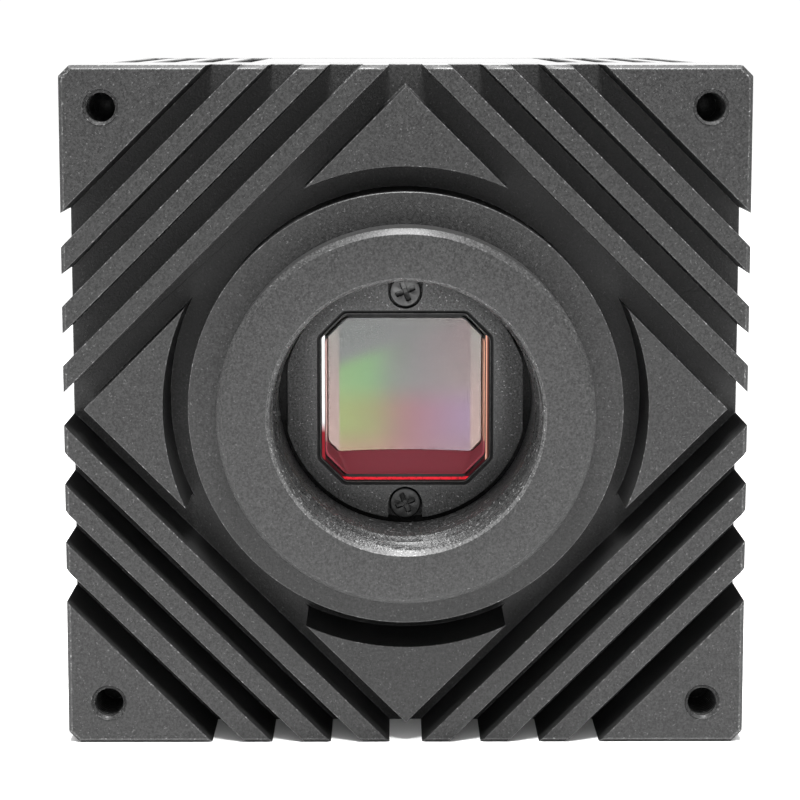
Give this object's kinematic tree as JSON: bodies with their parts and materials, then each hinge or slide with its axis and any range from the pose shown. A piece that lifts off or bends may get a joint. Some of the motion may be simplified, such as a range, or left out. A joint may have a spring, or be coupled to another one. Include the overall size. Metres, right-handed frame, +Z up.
{
  "type": "cooled astronomy camera",
  "caption": "Square black finned camera with a threaded lens mount, a cooled image sensor behind a cut-corner window, heat sink and rear fan.",
  "frame": {"origin": "centre of the outer box's bottom face, on the surface that the camera stands on", "axes": "+Z up; the lens mount faces -Y and the fan faces +Y; +X is to the right of the mount as it is faced"},
  "size_m": [0.0636, 0.071, 0.0635],
  "materials": {
    "anodised_black": "bead-blasted, black anodised",
    "anodised_ring": "fine bead-blasted, black anodised, turned",
    "anodised_plate": "black anodised, matt",
    "black_screw": "black oxide",
    "window_glass": "polished, coated",
    "rubber_seal": "matt",
    "ceramic": "fired ceramic",
    "silicon": "polished silicon with colour filters",
    "circuit_board": "solder resist",
    "chip_black": "moulded epoxy",
    "black_plastic": "moulded",
    "white_plastic": "machined acetal",
    "copper": "bare copper",
    "bare_aluminium": "milled",
    "bright_steel": "plated",
    "amber_film": "polyimide film",
    "light_pipe": "clear tinted"
  },
  "bodies": {
    "camera": {"base_screw_bottom": "black_screw", "base_screw_left": "black_screw", "base_screw_right": "black_screw", "base_screw_top": "black_screw", "chamber_base": "bare_aluminium", "chamber_insulator": "white_plastic", "chamber_seal": "rubber_seal", "cold_finger": "copper", "cooler_first_stage": "ceramic", "cooler_second_stage": "ceramic", "desiccant_cartridge": "white_plastic", "fan_bearing_front": "bright_steel", "fan_bearing_rear": "bright_steel", "fan_frame": "black_plastic", "fan_screw_bottom_left": "black_screw", "fan_screw_bottom_right": "black_screw", "fan_screw_top_left": "black_screw", "fan_screw_top_right": "black_screw", "fan_stator": "copper", "finger_collar": "white_plastic", "front_housing": "anodised_black", "heat_sink": "bare_aluminium", "io_board": "circuit_board", "io_flex": "amber_film", "main_board": "circuit_board", "main_housing": "anodised_black", "memory_chip_bottom": "chip_black", "memory_chip_top": "chip_black", "mount_ring": "anodised_ring", "mount_seal": "rubber_seal", "power_coil": "chip_black", "power_jack": "black_plastic", "power_pin": "bright_steel", "processor_chip": "chip_black", "rear_cover": "anodised_black", "sensor_board": "circuit_board", "sensor_cover_glass": "window_glass", "sensor_die": "silicon", "sensor_flex": "amber_film", "sensor_package": "ceramic", "sink_screw_bottom_left": "black_screw", "sink_screw_bottom_right": "black_screw", "sink_screw_top_left": "black_screw", "sink_screw_top_right": "black_screw", "status_light": "light_pipe", "tie_screw_bottom_left": "black_screw", "tie_screw_bottom_right": "black_screw", "tie_screw_top_left": "black_screw", "tie_screw_top_right": "black_screw", "usb_shell": "bright_steel", "usb_tongue": "chip_black", "window_gasket": "rubber_seal", "window_glass": "window_glass", "window_plate": "anodised_plate", "window_screw_bottom": "black_screw", "window_screw_top": "black_screw"},
    "fan": {"fan_rotor": "black_plastic", "fan_magnet": "bright_steel", "fan_shaft": "bright_steel"}
  },
  "joints": [
    {"name": "fan_spin", "type": "hinge", "parent": "camera", "child": "fan", "pos_m": [0, 0.028, 0.03575], "axis": [0, 1, 0], "continuous": true}
  ]
}
